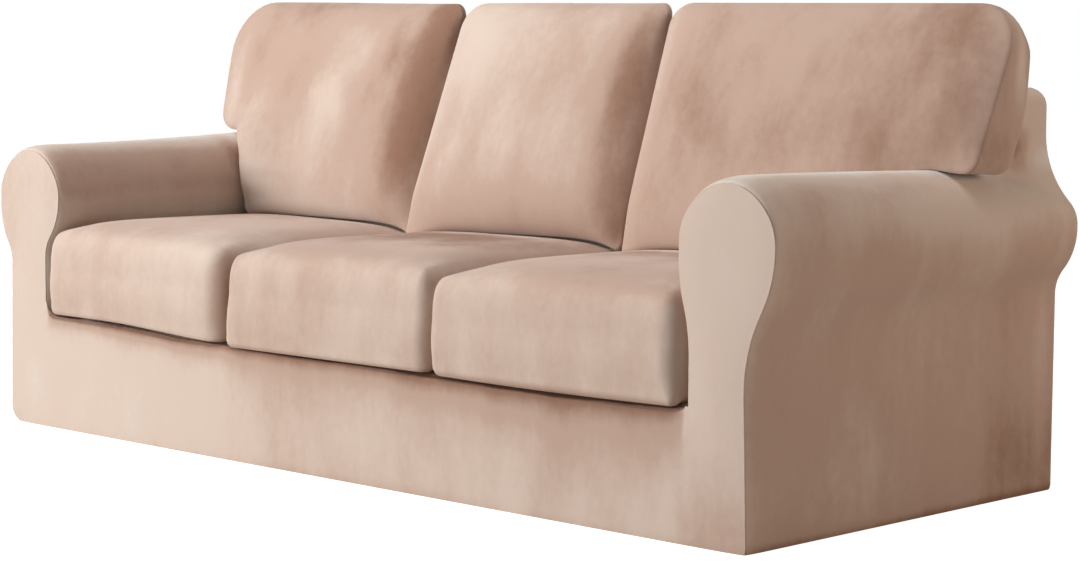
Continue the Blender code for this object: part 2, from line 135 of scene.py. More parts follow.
SEAT_FRONT_Y = FRONT_Y - 0.014  # a seat cover hangs a little over the rail

POSTS_X = (-ARMS["left"]["inner_x"], ARMS["right"]["inner_x"])  # where the arms end the rail
RAIL_CORNER_RADIUS = 0.03
RAIL_BELOW_SEAT = 0.007  # how far the rail's edge stays below the left seat cover's
RAIL_FADE_X = (-0.34, -0.26)  # where it stops following that cover
# The rail's top edge turns in under the seat covers: how deep, and how far below the deck's
# height it starts at places across the rail
RAIL_RECESS = 0.012
RAIL_TURN = (
    (-0.9, -0.31, 0, 0.3, 0.6, 0.86, 0.89, 0.91),
    (0.001, 0.005, 0.007, 0.009, 0.011, 0.009, 0.008, 0.001),
)
# The deck's front edge runs forward under it. Each place lies behind the front panel and below
# the deck's height
DECK_EDGE = ((0.004, 0.022), (0.015, 0.012), (0.018, 0.006), (0.023, 0.0025), (0.031, 0.0005))
DECK_FLAT = 0.04

# --- Small helpers ---


def between(pair, share):
    """The value at a share of the way from the pair's first to its second."""
    return pair[0] + (pair[1] - pair[0]) * share


def ease(value, low, high):
    """0 below low, 1 above high, and smooth in between."""
    share = np.clip((np.asarray(value, dtype=float) - low) / (high - low), 0, 1)
    return share * share * (3 - 2 * share)


def arc(centre, radius, start, end, steps):
    """Points on an arc of a circle, both ends included."""
    angles = np.linspace(start, end, steps + 1)
    return np.stack([centre[0] + radius * np.cos(angles), centre[1] + radius * np.sin(angles)], 1)


def evenly(points, count):
    """The same line with count points, evenly spaced along it."""
    lengths = np.linalg.norm(np.diff(points, axis=0), axis=1)
    run = np.concatenate([[0], np.cumsum(lengths)])
    places = np.linspace(0, run[-1], count)
    return np.stack([np.interp(places, run, column) for column in points.T], 1)


def bezier(points, count):
    """Points on a cubic Bezier curve, both ends included."""
    share = np.linspace(0, 1, count)[:, None]
    first, second, third, fourth = np.array(points)
    near = (1 - share) ** 3 * first + 3 * (1 - share) ** 2 * share * second
    return near + 3 * (1 - share) * share**2 * third + share**3 * fourth


def inwards(line, amount):
    """An open line moved to its left. Its first and last points stay at their height.

    amount is one distance, or one for each point.
    """
    along = np.gradient(line, axis=0)
    along /= np.linalg.norm(along, axis=1)[:, None]
    amount = np.broadcast_to(amount, len(line))[:, None]
    moved = line + amount * np.stack([-along[:, 1], along[:, 0]], 1)
    moved[0, 1] = line[0, 1]
    moved[-1, 1] = line[-1, 1]
    return moved


def at_height(xs, z):
    """Points (x, z) at one height."""
    return np.stack([xs, np.full(len(xs), z)], 1)


def x_at(z, line):
    """The x of a rising line at a height."""
    return np.interp(z, line[:, 1], line[:, 0])


def domed(grid, rim, height, reach):
    """How far a flat panel (x, z) swells away from the nearest point of its rim."""
    distances = np.linalg.norm(grid[:, None, :] - rim[None, :, :], axis=2)
    return height * (1 - np.exp(-distances.min(axis=1) / reach))


def strokes_at(points, strokes):
    """Sum of soft round strokes, each fading away from its centre. Strokes are in centimetres."""
    total = np.zeros(len(points))
    for *place, strength in strokes:
        offset = (100 * points - place[:3]) / place[3:]
        total += strength * np.exp(-np.sum(offset * offset, axis=1))
    return total


# --- Cloth pieces ---


def grid_faces(first, rows, columns, closed):
    """Quads of a grid of points that are numbered row by row."""
    across = np.arange(columns if closed else columns - 1)
    down = first + columns * np.arange(rows - 1)[:, None]
    here, beside = down + across, down + (across + 1) % columns
    return np.stack([here, beside, beside + columns, here + columns], -1).reshape(-1, 4)


def add_cloth(name, grids, inside, material, painted_light_and_nap=None, centre=None):
    """A thin shell whose outer face is made of grids (rows, columns, 3) that share edges.

    inside is a point on the inner side. The function given after the material sets a value at
    each point, from -1, dark, to 1, light: painted shade and painted light, such as shadows cast
    between the cushions, mixed with lighter and darker marks of the velvet's own nap. With a
    centre the rows are closed rings, and a fan closes the last of them.
    """
    vertices = []
    faces = []
    first = 0
    closed = centre is not None
    for grid in grids:
        rows, columns = grid.shape[:2]
        faces += grid_faces(first, rows, columns, closed).tolist()
        vertices.append(grid.reshape(-1, 3))
        first += rows * columns
    if closed:
        start = first - columns
        faces += [(start + i, start + (i + 1) % columns, first) for i in range(columns)]
        vertices.append(np.array([centre]))
    vertices = np.concatenate(vertices)
    mesh = bpy.data.meshes.new(name)
    mesh.from_pydata(vertices.tolist(), [], faces)
    mesh.update()
    facing, middles = np.empty((2, len(mesh.polygons) * 3))
    mesh.polygons.foreach_get("normal", facing)
    mesh.polygons.foreach_get("center", middles)
    outwards = middles.reshape(-1, 3) - inside
    if np.sum(facing.reshape(-1, 3) * outwards) < 0:
        mesh.flip_normals()
    attribute = mesh.attributes.new("painted_light_and_nap", "FLOAT", "POINT")
    attribute.data.foreach_set("value", painted_light_and_nap(vertices) if painted_light_and_nap else np.zeros(len(vertices)))
    mesh.materials.append(material)
    mesh.shade_smooth()
    cloth = bpy.data.objects.new(name, mesh)
    scene.collection.objects.link(cloth)
    weld = cloth.modifiers.new("Weld", "WELD")
    weld.merge_threshold = WELD_DISTANCE
    thickness = cloth.modifiers.new("Cloth thickness", "SOLIDIFY")
    thickness.thickness = CLOTH
    thickness.offset = -1
    depsgraph = bpy.context.evaluated_depsgraph_get()
    shell = bpy.data.meshes.new_from_object(cloth.evaluated_get(depsgraph))
    shell.name = name
    shell.set_sharp_from_angle(angle=CUT_EDGE_ANGLE)
    cloth.modifiers.clear()
    cloth.data = shell
    bpy.data.meshes.remove(mesh)
    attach(cloth, "root")
    return cloth


# --- Velvet ---

# Base colours along the ramp: near-black painted shadow, darker warm colours of painted shade, the
# mid tone, and the pale colour of painted light. The velvet's noise marks range over the middle
# ones.
PAINTED_DEEP_SHADOW = (0.085, 0.042, 0.027)
DARK_NAP_AND_PAINTED_SHADE = (0.275, 0.151, 0.102)
ROSY_NAP_AND_PAINTED_SHADE = (0.475, 0.329, 0.262)
PILE_MID = (0.6, 0.478, 0.403)
PALE_NAP_AND_PAINTED_LIGHT = (0.675, 0.655, 0.61)


def set_inputs(node, values):
    """Give the named inputs of a shader node constant values."""
    for name, value in values.items():
        node.inputs[name].default_value = value


def make_velvet(name, lean):
    """Velvet whose colour follows the painted light and shade set on each piece, mixed with noise
    marks of its own tone. lean shifts the whole piece, darker below 0.
    """
    material = bpy.data.materials.new(name)
    material.use_nodes = True
    tree = material.node_tree
    tree.nodes.clear()

    link = tree.links.new

    def node(kind, values=None):
        made = tree.nodes.new(kind)
        set_inputs(made, values or {})
        return made

    def noise(scale, upright, detail, roughness):
        """Noise whose marks are stretched upwards where upright is below 1."""
        mapping = node("ShaderNodeMapping", {"Scale": (1, 1, upright)})
        link(coordinates.outputs["Object"], mapping.inputs["Vector"])
        values = {"Scale": scale, "Detail": detail, "Roughness": roughness}
        texture = node("ShaderNodeTexNoise", values)
        link(mapping.outputs["Vector"], texture.inputs["Vector"])
        return texture.outputs["Fac"]

    def weighted(value, weight, add):
        """value times weight, plus what add gives."""
        step = node("ShaderNodeMath", {1: weight})
        step.operation = "MULTIPLY_ADD"
        link(value, step.inputs[0])
        if isinstance(add, float):
            step.inputs[2].default_value = add
        else:
            link(add, step.inputs[2])
        return step.outputs["Value"]

    coordinates = node("ShaderNodeTexCoord")
    # The attribute with each point's painted light and shade and marks of the nap
    painted_light_and_nap = node("ShaderNodeAttribute")
    painted_light_and_nap.attribute_name = "painted_light_and_nap"
    broad = noise(3.2, 0.55, 3.0, 0.55)
    streaks = noise(11.0, 0.3, 4.0, 0.6)
    mottle = noise(60.0, 0.8, 3.0, 0.6)
    grain = noise(900.0, 1, 2.0, 0.5)

    # Painted light and shade, then noise marks of the velvet's own tone, shifted onto the ramp
    tone_and_painted_light = weighted(painted_light_and_nap.outputs["Fac"], 0.5, 0.5 + lean)
    for marks, weight in ((broad, 0.42), (streaks, 0.3), (mottle, 0.12), (grain, 0.06)):
        tone_and_painted_light = weighted(marks, weight, tone_and_painted_light)
    tone_and_painted_light = weighted(tone_and_painted_light, 0.85, -0.2325)

    # Colours from near-black painted shadow at 0, through painted shade, to painted light at 1
    ramp = node("ShaderNodeValToRGB")
    ramp.color_ramp.interpolation = "EASE"
    stops = ramp.color_ramp.elements
    stops[0].color = (*PAINTED_DEEP_SHADOW, 1)
    stops[1].color = (*PALE_NAP_AND_PAINTED_LIGHT, 1)
    for position, colour in ((0.15, DARK_NAP_AND_PAINTED_SHADE), (0.4475, ROSY_NAP_AND_PAINTED_SHADE), (0.677, PILE_MID)):
        stops.new(position).color = (*colour, 1)
    link(tone_and_painted_light, ramp.inputs["Fac"])

    values = {"Roughness": 0.9, "Specular IOR Level": 0.15, "Sheen Roughness": 0.45}
    values["Sheen Tint"] = (1, 0.88, 0.8, 1)
    shader = node("ShaderNodeBsdfPrincipled", values)
    link(ramp.outputs["Color"], shader.inputs["Base Color"])
    # Sheen weight grows with the value, so the darkest painted shade gets no sheen
    sheen_weight = node("ShaderNodeMapRange", {"From Max": 0.4, "To Max": 0.35})
    link(tone_and_painted_light, sheen_weight.inputs["Value"])
    link(sheen_weight.outputs["Result"], shader.inputs["Sheen Weight"])

    bump = node("ShaderNodeBump", {"Strength": 0.35, "Distance": 0.0012})
    link(weighted(mottle, 0.5, weighted(grain, 0.5, 0.0)), bump.inputs["Height"])
    link(bump.outputs["Normal"], shader.inputs["Normal"])
    output = node("ShaderNodeOutputMaterial")
    link(shader.outputs["BSDF"], output.inputs["Surface"])
    return material


VELVET = make_velvet("velvet", 0.0)
# A darker copy for the arms, deck and inside back: painted shade for the parts that turn away from
# the light or lie under the cushions
VELVET_SHADED = make_velvet("velvet_shaded", -0.22)

# --- Base cover: sections ---


def touching(radius, other_radius, sideways):
    """How far apart in height two touching circles are, and the angle at which they touch."""
    rise = sqrt((radius + other_radius) ** 2 - sideways**2)
    return rise, atan2(rise, sideways)


def roll_end_angle(arm, fillet_radius):
    """Where the roll meets the fillet that runs up into the back's side."""
    sideways = BACK_SIDE_X + fillet_radius - arm["roll_x"]
    return touching(arm["roll_radius"], fillet_radius, sideways)[1]


def outer_line(arm, share, roll_z, fillet_radius):
    """From the hem up the outer side and over the roll."""
    keys = ("neck_x", "neck_radius", "under_radius", "hem_x", "hem_radius")
    neck_x, neck_radius, under_radius, hem_x, hem_radius = (
        between(arm[key], share) for key in keys
    )
    under_x = arm["roll_x"] + arm["roll_radius"] - under_radius
    neck_centre_x = neck_x + neck_radius
    drop, touch = touching(under_radius, neck_radius, neck_centre_x - under_x)
    under_z = roll_z - between(arm["belly"], share)
    end = roll_end_angle(arm, fillet_radius)
    arcs = [
        arc((hem_x - hem_radius, hem_radius), hem_radius, -pi / 2, 0, 8),
        arc((neck_centre_x, under_z - drop), neck_radius, pi, pi - touch, 24),
        arc((under_x, under_z), under_radius, -touch, 0, 24)[1:],
        arc((arm["roll_x"], roll_z), arm["roll_radius"], 0, end, 24),
    ]
    return np.concatenate(arcs)


def inner_line(arm, roll_z, behind=0):
    """From the same point of the roll over its crown and down to the deck.

    behind is the distance from the front panel: the inner belly fades out there.
    """
    under_radius, neck_radius = arm["inner_under_radius"], arm["inner_neck_radius"]
    under_x = arm["roll_x"] - arm["roll_radius"] + under_radius
    neck_centre_x = arm["inner_x"] - neck_radius
    drop, touch = touching(under_radius, neck_radius, under_x - neck_centre_x)
    start = roll_end_angle(arm, SIDE_FILLET_RADIUS[0])
    under_z = roll_z - arm["inner_belly"] * (1 - ease(behind, 0, INNER_BELLY_REACH))
    arcs = [
        arc((arm["roll_x"], roll_z), arm["roll_radius"], start, pi, 40),
        arc((under_x, under_z), under_radius, pi, pi + touch, 16)[1:],
        arc((neck_centre_x, under_z - drop), neck_radius, touch, 0, 16)[1:],
        [(arm["inner_x"], DECK_Z + GAP)],
    ]
    return np.concatenate(arcs)


def upper_line(arm, roll_z, fillet_radius):
    """From the end of the roll up the back's side and round its top corner."""
    touch = roll_end_angle(arm, fillet_radius)
    rise = (arm["roll_radius"] + fillet_radius) * sin(touch)
    fillet_centre = (BACK_SIDE_X + fillet_radius, roll_z + rise)
    side = arc(fillet_centre, fillet_radius, pi + touch, pi, 16)
    return np.concatenate([side, arc(BACK_CORNER_CENTRE, BACK_CORNER_RADIUS, 0, pi / 2, 12)])


def rear_section(arm, reach):
    """An arm whose roll narrows as it runs into the side of the back."""
    roll_x = between((arm["roll_x"], REAR_ROLL_X), reach)
    roll_radius = between((arm["roll_radius"], REAR_ROLL_RADIUS), reach)
    return {**arm, "roll_x": roll_x, "roll_radius": roll_radius}


def fillet(distance, radius):
    """Rise of a rounded corner at a distance from its upright side."""
    left = np.clip(radius - distance, 0, radius)
    return radius - np.sqrt(radius**2 - left**2)


def back_face_y(z):
    """Front face of the back at a height, with its rounded top edge."""
    edge = fillet(BACK_TOP_Z - z, BACK_FRONT_EDGE_RADIUS)
    return BACK_FOOT_Y + BACK_LEAN * (z - DECK_Z) + edge


def seat_sides(name):
    """The x of a seat cover's left and right sides."""
    low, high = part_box(f"seat_band_{name}")
    left, right = SEATS[name]["sides"]
    return low[0] + left, high[0] + right


def seat_share(x, name):
    """Where x lies across a seat cover, from 0 at its left to 1 at its right."""
    left, right = seat_sides(name)
    return np.clip((x - left) / (right - left), 0, 1)


def seat_lift(x, name):
    """How far a seat cover's lowest edge lies above the deck's height."""
    share = seat_share(x, name)
    seat = SEATS[name]
    sag = seat["sag"] * np.sin(pi * share)
    return between(seat["ends"], ease(share, *seat["eased"])) - sag - DECK_Z


def rail_lift(x):
    """How far the rail's top edge rises above the deck's height to meet the left seat cover."""
    rise = np.maximum(seat_lift(x, "left") - RAIL_BELOW_SEAT, 0) * (1 - ease(x, *RAIL_FADE_X))
    return rise + fillet(np.maximum(x - POSTS_X[0], 0), RAIL_CORNER_RADIUS)


def inside_rail(x, edge):
    """0 at the arms and 1 further in, eased over an edge."""
    return ease(np.minimum(x - POSTS_X[0], POSTS_X[1] - x), 0, edge)


# --- Base cover: pieces ---

EDGE_STEPS = 7
OUTER_COLUMNS = 90
INNER_COLUMNS = 64
UPPER_COLUMNS = 34
POST_COLUMNS = 26
RAIL_COLUMNS = 150
ARM_ROWS = 62
BACK_SIDE_ROWS = 22


def panel_inset(line, end):
    """How far a flat panel's seam lies inside the widest outline, at each point of a line."""
    return between((SIDE_INSET[end], TOP_INSET[end]), ease(line[:, 1], 0.5, 0.6))


def edge_rows(end):
    """Places along Y and shares of the inset of the rounded edge beside a flat panel."""
    panel_y, direction = {"front": (FRONT_Y, 1), "rear": (REAR_Y, -1)}[end]
    angles = np.linspace(0, pi / 2, EDGE_STEPS + 1)
    start = CLOTH + (0.0001 if end == "front" else GAP)
    ys = panel_y + direction * (start + (EDGE_DEPTH[end] - CLOTH) * (1 - np.cos(angles)))
    return list(zip(ys, 1 - np.sin(angles)))


def placed(line, ys):
    """A line (x, z) as points, at one or several places along Y."""
    return np.stack([line[:, 0], np.broadcast_to(ys, len(line)), line[:, 1]], 1)


def arm_outline(arm, roll_z, behind=0, inset=1):
    """Hem, outer side, roll and inner side of an arm, at a distance behind the front panel."""
    fillet_radius = SIDE_FILLET_RADIUS[0]
    outer = evenly(outer_line(arm, behind / DEPTH, roll_z, fillet_radius), OUTER_COLUMNS)
    inner = evenly(inner_line(arm, roll_z, behind), INNER_COLUMNS)
    outline = np.concatenate([outer, inner[1:]])
    return inwards(outline, inset * panel_inset(outline, "front"))


def rear_outline(arm, behind=DEPTH, reach=1, inset=1):
    """Hem, outer side, roll and the back's side with its top corner."""
    section = rear_section(arm, reach**ROLL_NARROWING_POWER)
    fillet_radius = between(SIDE_FILLET_RADIUS, reach)
    roll_z = arm["roll_z"][1]
    outer = evenly(outer_line(section, behind / DEPTH, roll_z, fillet_radius), OUTER_COLUMNS)
    upper = evenly(upper_line(section, roll_z, fillet_radius), UPPER_COLUMNS)
    outline = np.concatenate([outer, upper[1:]])
    return inwards(outline, inset * panel_inset(outline, "rear"))


def add_arm(name):
    """Outer side, roll, inner side and the back's side, in one piece of cloth."""
    arm = ARMS[name]
    side = arm["side"]
    end_angle = roll_end_angle(arm, SIDE_FILLET_RADIUS[0])
    meeting_z = arm["roll_z"][1] + arm["roll_radius"] * sin(end_angle)
    meeting_y = back_face_y(meeting_z - CLOTH) - GAP
    front_edge = edge_rows("front")
    rear_edge = edge_rows("rear")[::-1]
    front_y, rear_y = front_edge[-1][0], rear_edge[0][0]
    along_arm = front_edge + [(y, 0) for y in np.linspace(front_y, meeting_y, ARM_ROWS)[1:]]
    along_back = [(y, 0) for y in np.linspace(meeting_y, rear_y, BACK_SIDE_ROWS)] + rear_edge[1:]

    outer_rows = []
    inner_rows = []
    for y, inset in along_arm:
        reach = max((y - front_y) / (meeting_y - front_y), 0)
        roll_z = between(arm["roll_z"], reach**ROLL_RISE_POWER)
        outline = arm_outline(arm, roll_z, y - FRONT_Y, inset)
        outer_rows.append(placed(outline[:OUTER_COLUMNS], y))
        inner_part = outline[OUTER_COLUMNS - 1 :]
        ends = back_face_y(inner_part[:, 1] - CLOTH) - GAP
        inner_rows.append(placed(inner_part, y + reach * (ends - meeting_y)))
        inner_rows[-1][0] = outer_rows[-1][-1]

    upper_rows = []
    for y, inset in along_back:
        reach = min((y - meeting_y) / (rear_y - meeting_y), 1)
        outline = rear_outline(arm, y - FRONT_Y, reach, inset)
        if y > meeting_y:
            outer_rows.append(placed(outline[:OUTER_COLUMNS], y))
        upper_part = outline[OUTER_COLUMNS - 1 :]
        faces = back_face_y(upper_part[:, 1])
        upper_rows.append(placed(upper_part, y + (1 - reach) * (faces - meeting_y)))
        upper_rows[-1][0] = outer_rows[-1][-1]

    grids = [np.array(rows) * (side, 1, 1) for rows in (outer_rows, inner_rows, upper_rows)]
    if side > 0:
        grids = [grid[:, ::-1] for grid in grids]
    inside = (side * arm["roll_x"], 0, 0.35)
    painted_light_and_nap = painted_strokes(f"arm_{name}")
    cloth = add_cloth(f"cover_arm_{name}", grids, inside, VELVET_SHADED, painted_light_and_nap)
    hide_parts(f"arm_{name}")


def add_front_panel():
    """Both arm faces and the rail between them, cut in one piece."""
    outlines = {}
    rims = []
    for name, arm in ARMS.items():
        line = arm_outline(arm, arm["roll_z"][0])
        top = int(np.argmax(line[:, 1]))
        outlines[name] = (line[: top + 1], line[top:][::-1], line[top, 1])
        rims.append(line * (arm["side"], 1))
    rim = np.concatenate(rims)

    shares = np.linspace(0, 1, RAIL_COLUMNS + 1)
    shares -= 0.85 / (2 * pi) * np.sin(2 * pi * shares)  # closer together beside the arms
    left, right = -outlines["left"][1][0, 0], outlines["right"][1][0, 0]
    rail = (left + (right - left) * shares)[1:]
    fine_z = DECK_Z - 0.018
    lower = []
    for z in [*np.linspace(0, fine_z, 24, endpoint=False), *np.linspace(fine_z, DECK_Z, 13)]:
        post = np.linspace(-x_at(z, outlines["left"][0]), left, POST_COLUMNS + 1)
        far_post = np.linspace(right, x_at(z, outlines["right"][0]), POST_COLUMNS + 1)
        lower.append(at_height(np.concatenate([post, rail, far_post[1:]]), z))
    grids = [np.array(lower)]
    for name, arm in ARMS.items():
        outer, inner, top_z = outlines[name]
        rows = []
        for z in DECK_Z + (top_z - DECK_Z) * np.sin(np.linspace(0, pi / 2, 46)):
            ends = (x_at(z, outer), x_at(z, inner))[:: -arm["side"]]
            rows.append(at_height(arm["side"] * np.linspace(*ends, POST_COLUMNS + 1), z))
        grids.append(np.array(rows))

    def with_depth(grid):
        flat = grid.reshape(-1, 2)
        x, z = flat.T
        ys = FRONT_Y - domed(flat, rim, *PANEL_DOME["front"])
        near_top = ease(z, 0.1, DECK_Z) * (1 - ease(z, DECK_Z, 0.36))
        lift = rail_lift(x) * near_top * ease(x, -1.04, POSTS_X[0])
        turn = DECK_Z - np.interp(x, *RAIL_TURN)
        inside = inside_rail(x, 0.014) * (z < DECK_Z + 0.0001)
        ys += RAIL_RECESS * ease(z, turn - 0.004, turn + 0.001) * inside
        too_high = np.maximum(z - turn - 0.003, 0) * inside
        return np.stack([x, ys, z - 0.9 * too_high + lift], 1).reshape(*grid.shape[:2], 3)

    grids = [with_depth(grid) for grid in grids]
    cloth = add_cloth("cover_front", grids, (0, 0, 0.2), VELVET, front_painted_light_and_shadow)
    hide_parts("front_panel")


def add_deck():
    """The flat platform under the seat cushions, rounded down to the rail."""
    line = [(FRONT_Y + behind, DECK_Z - below) for behind, below in DECK_EDGE]
    line += [(y, DECK_Z) for y in np.linspace(FRONT_Y + DECK_FLAT, BACK_FOOT_Y - GAP, 30)]
    y, z = np.array(line).T[:, :, None]
    x = np.linspace(POSTS_X[0] + GAP, CLOTH - POSTS_X[0], 180)
    near_rail = 1 - ease(y, FRONT_Y + 0.012, FRONT_Y + 0.05)
    z = z + rail_lift(x) * ease(x, -0.93, POSTS_X[0]) * near_rail
    grid = np.stack(np.broadcast_arrays(x, y, z), -1)
    cloth = add_cloth("cover_deck", [grid], (0, -0.2, 0), VELVET_SHADED)
    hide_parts("deck")


def add_inside_back():
    """Front face of the back between and above the arms, and its top."""
    corner_x = BACK_CORNER_CENTRE[0]
    lowest_roll_z = min(arm["roll_z"][1] for arm in ARMS.values())
    beside = inner_line(ARMS["left"], lowest_roll_z, DEPTH)[:0:-1]
    beside = beside[(beside[:, 0] <= corner_x) & (beside[:, 1] < 0.62)] + (0.004, 0)
    side_x = BACK_SIDE_X - CLOTH - GAP - 0.001
    corner = arc(BACK_CORNER_CENTRE, side_x - corner_x, 0, pi / 2, 12)
    line = np.concatenate([beside, [(side_x, 0.64)], corner])
    line = np.concatenate([evenly(line[:-1], 70), line[-1:]])
    top_half = corner_x - 0.001
    rows = [(half, back_face_y(z), z) for half, z in line[:-1]]
    rows.append((top_half, back_face_y(BACK_TOP_Z), BACK_TOP_Z))
    for y, inset in edge_rows("rear")[::-1]:
        rows.append((top_half, y, BACK_TOP_Z - TOP_INSET["rear"] * inset))
    columns = np.linspace(-1, 1, 110)
    grid = np.array([[(c * half, y, z) for c in columns] for half, y, z in rows])
    cloth = add_cloth("cover_inside_back", [grid], (0, 0.4, 0.3), VELVET_SHADED)
    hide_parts("inside_back")


def add_outside_back():
    """The flat rear panel, from the hem to the top of the back."""
    left, right = (rear_outline(ARMS[name]) for name in ("left", "right"))
    for line in (left, right):
        line[-1, 1] -= TOP_INSET["rear"]
    top_z = min(left[-1, 1], right[-1, 1])
    columns = 160
    rows = []
    for z in np.linspace(0, top_z, 90):
        rows.append(at_height(np.linspace(-x_at(z, left), x_at(z, right), columns), z))
    top = at_height(np.linspace(-0.98, 0.98, 200), top_z)
    rim = np.concatenate([left * (-1, 1), right, top])
    points = np.concatenate(rows)
    x, z = points.T
    ys = REAR_Y + domed(points, rim, *PANEL_DOME["rear"])
    grid = np.stack([x, ys, z], 1).reshape(len(rows), columns, 3)
    cloth = add_cloth("cover_outside_back", [grid], (0, 0, 0.4), VELVET)
    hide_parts("outside_back")


# --- Cushion covers ---


def rounded_loop(corners, edge_steps, arc_steps, inset):
    """A closed anticlockwise outline with rounded corners, moved inwards by inset.

    corners holds x, y and radius. Every inset gives the same number of points.
    """
    count = len(corners)
    arcs = []
    for index, (x, y, radius) in enumerate(corners):
        previous_x, previous_y, _ = corners[index - 1]
        next_x, next_y, _ = corners[(index + 1) % count]
        heading_in = atan2(y - previous_y, x - previous_x)
        heading_out = atan2(next_y - y, next_x - x)
        turn = (heading_out - heading_in + pi) % (2 * pi) - pi
        side = 1 if turn > 0 else -1
        inset_radius = max(radius - side * inset, 0.004)
        reach = (inset + side * inset_radius) / (1 + cos(turn))
        centre_x = x - reach * (sin(heading_in) + sin(heading_out))
        centre_y = y + reach * (cos(heading_in) + cos(heading_out))
        start = heading_in - side * pi / 2
        arcs.append(arc((centre_x, centre_y), inset_radius, start, start + turn, arc_steps))
    parts = []
    for index, steps in enumerate(edge_steps):
        ends = (arcs[index][-1], arcs[(index + 1) % count][0])
        parts += [arcs[index], between(ends, np.linspace(0, 1, steps + 1)[1:-1, None])]
    return np.concatenate(parts)


SEAT_CORNER_RADIUS = 0.028
SEAT_SEAM_Z = 0.405
SEAT_REAR_GAP = 0.003
SEAT_CREST_Z = 0.4485
SEAT_CROWN = 0.0483
SEAT_REACH = 0.0419
SEAT_CORNER_REACH = 0.12
SEAT_ROLL_Z = 0.338
SEAT_ROLL_INSET = 0.055
SEAT_REAR_RADIUS = 0.045
SEAT_EDGE_STEPS = (60, 52, 60, 52)
SEAT_ARC_STEPS = 8
# Height above the lowest edge and inset of the boxing where it rolls under
SEAT_LIP = (
    (0, 0.011), (0.0004, 0.008), (0.0014, 0.0052), (0.003, 0.003), (0.0052, 0.0014),
    (0.008, 0.0004), (0.011, 0),
)
SEAT_LIP_TOP = 0.02


def seat_rear_y(z):
    """How far back a seat cover reaches at a height."""
    return back_face_y(z) - SEAT_REAR_GAP


def seat_fall(distance):
    """How far the crown has fallen at a distance from the side of a cushion."""
    return SEAT_CROWN * np.exp(-distance / SEAT_REACH)


def seat_height(x, y, name):
    """Height of a seat cushion's crowned top, for points inside its footprint."""
    left, right = seat_sides(name)
    beside = np.maximum(np.minimum(x - left, right - x), 0)
    ahead = np.maximum(np.minimum(y - SEAT_FRONT_Y, seat_rear_y(SEAT_SEAM_Z) - y), 0)
    fall = seat_fall(beside) + seat_fall(ahead) - seat_fall(beside + ahead)
    from_corner = ((x - left) ** 2 + (y - SEAT_FRONT_Y) ** 2) / SEAT_CORNER_REACH**2
    dip = SEATS[name]["corner"] * np.exp(-from_corner)
    return SEAT_CREST_Z - fall + crest_rise(x, name) - dip


def crest_rise(x, name):
    """What a seat's own crest adds to the crown."""
    return between(SEATS[name]["crest"], seat_share(x, name))


